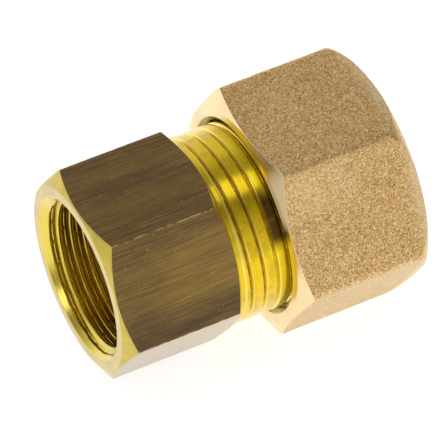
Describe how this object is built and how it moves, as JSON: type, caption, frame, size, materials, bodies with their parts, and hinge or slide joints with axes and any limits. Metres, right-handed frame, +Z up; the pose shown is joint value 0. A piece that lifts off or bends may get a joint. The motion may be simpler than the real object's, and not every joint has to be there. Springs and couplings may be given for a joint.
{
  "type": "compression fitting",
  "caption": "Straight brass compression fitting: hexagonal body with a female pipe thread, compression ring inside, and a hexagonal union nut on an outer thread.",
  "frame": {"origin": "centre of the bounding box's bottom face, below the fitting's axis; the nut's lower flat lies in the plane z = 0", "axes": "+X along the fitting's axis from the female thread's mouth to the nut, +Z up through the nut's upper flat; the body's hexagon is turned 1.5 degrees about +X from the nut's, as the two stood in the picture"},
  "size_m": [0.0338, 0.0272, 0.0237],
  "materials": {
    "body_brass": "drawn hexagon bar with dark tarnished flats, bright turned ends and threads",
    "ring_brass": "bright turned brass",
    "nut_brass": "shot-blasted forging with a machined front face"
  },
  "bodies": {
    "fitting": {"fitting_body": "body_brass"},
    "ring": {"compression_ring": "ring_brass"},
    "nut": {"union_nut": "nut_brass"}
  },
  "joints": [
    {"name": "ring_slide", "type": "slide", "parent": "fitting", "child": "ring", "axis": [1, 0, 0], "range_m": [-0.0019, 0.0061]},
    {"name": "nut_turn", "type": "hinge", "parent": "ring", "child": "nut", "pos_m": [0, 0, 0.01188], "axis": [1, 0, 0], "range_deg": [-450, 1440]}
  ],
  "couplings": [
    {"joint": "ring_slide", "follows": "nut_turn", "m_per_rad": 0.00023873}
  ]
}
